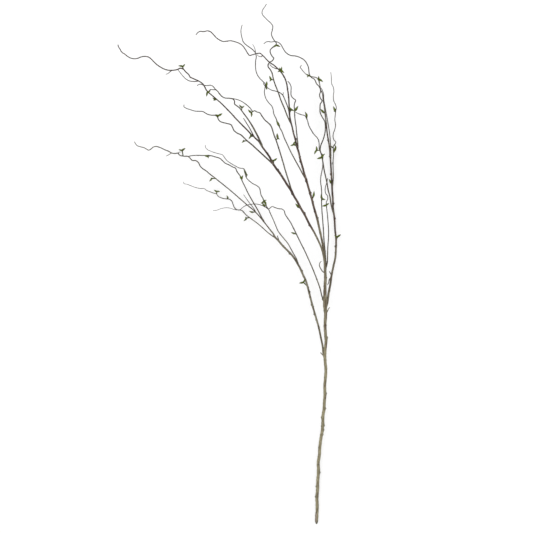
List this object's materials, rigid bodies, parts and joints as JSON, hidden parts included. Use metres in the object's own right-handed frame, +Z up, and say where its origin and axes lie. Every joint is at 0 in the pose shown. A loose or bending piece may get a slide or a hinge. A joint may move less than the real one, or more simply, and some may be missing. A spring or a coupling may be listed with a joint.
{
  "type": "leafy twig",
  "caption": "Cut curly willow branch lying down: a straight knotty stem, limbs that fan out to one side, and long wavy twigs with small opening leaves.",
  "frame": {"origin": "centre of the bounding box in plan, on the surface that the branch lies on", "axes": "+Y along the branch from the cut end to the crown, +Z up from the surface"},
  "size_m": [0.5024, 1.1685, 0.1289],
  "materials": {
    "olive_bark": "matte",
    "brown_bark": "matte",
    "plum_bark": "matte",
    "leaf": "satin"
  },
  "bodies": {
    "root": {"main_stem": "olive_bark", "left_limb": "olive_bark", "left_low_twig": "brown_bark", "left_middle_twig": "brown_bark", "left_inner_twig": "brown_bark", "left_arching_twig": "brown_bark", "long_limb": "plum_bark", "long_limb_upper_twig": "brown_bark", "long_limb_inner_twig": "plum_bark", "long_limb_lower_twig": "plum_bark", "centre_limb": "plum_bark", "centre_tall_twig": "brown_bark", "centre_left_twig": "plum_bark", "centre_short_twig": "brown_bark", "centre_right_twig": "brown_bark", "inner_left_twig": "plum_bark", "inner_long_twig": "plum_bark", "inner_short_twig": "plum_bark", "right_limb": "plum_bark", "right_limb_strand": "brown_bark", "right_outer_twig": "brown_bark"}
  },
  "joints": []
}
